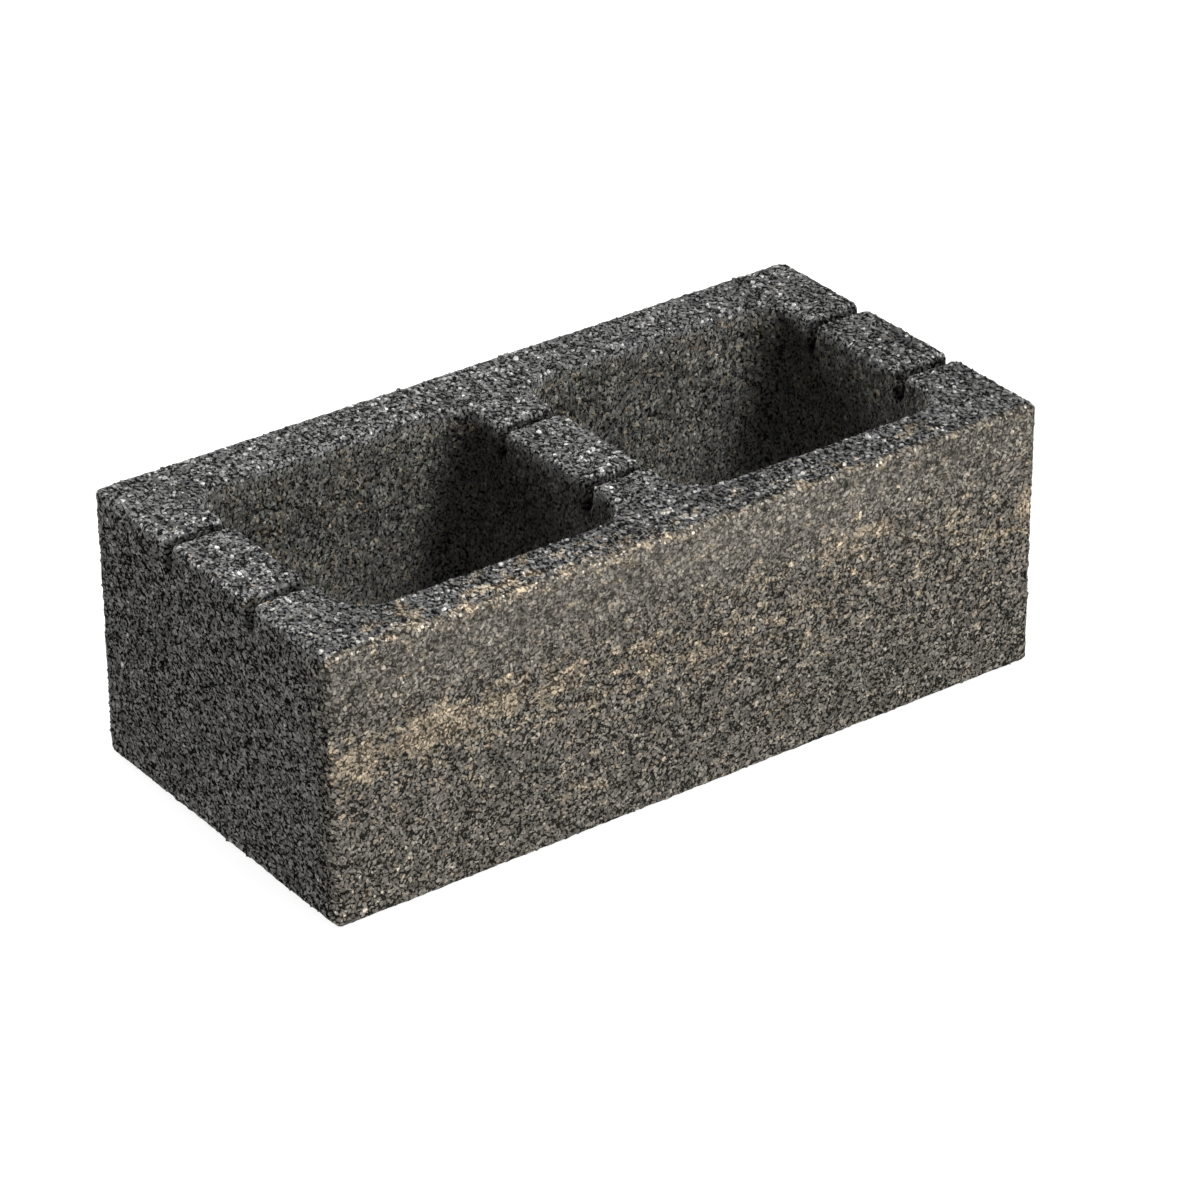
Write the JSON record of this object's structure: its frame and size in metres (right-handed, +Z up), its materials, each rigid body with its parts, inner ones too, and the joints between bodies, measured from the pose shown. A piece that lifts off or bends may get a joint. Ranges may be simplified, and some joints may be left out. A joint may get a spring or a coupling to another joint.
{
  "type": "concrete block",
  "caption": "Hollow dark-grey concrete building block with rounded rectangular cores right through it and narrow break-out notches across the tops of its webs.",
  "frame": {"origin": "middle of the underside, which is the bed face that it lies on", "axes": "+X along the block, +Y across it from the front shell to the back shell, +Z up through the cores"},
  "size_m": [0.39, 0.19, 0.135],
  "materials": {
    "concrete": "vibro-pressed dark-aggregate concrete, open grained and matt"
  },
  "bodies": {
    "root": {"concrete_block": "concrete"}
  },
  "joints": []
}
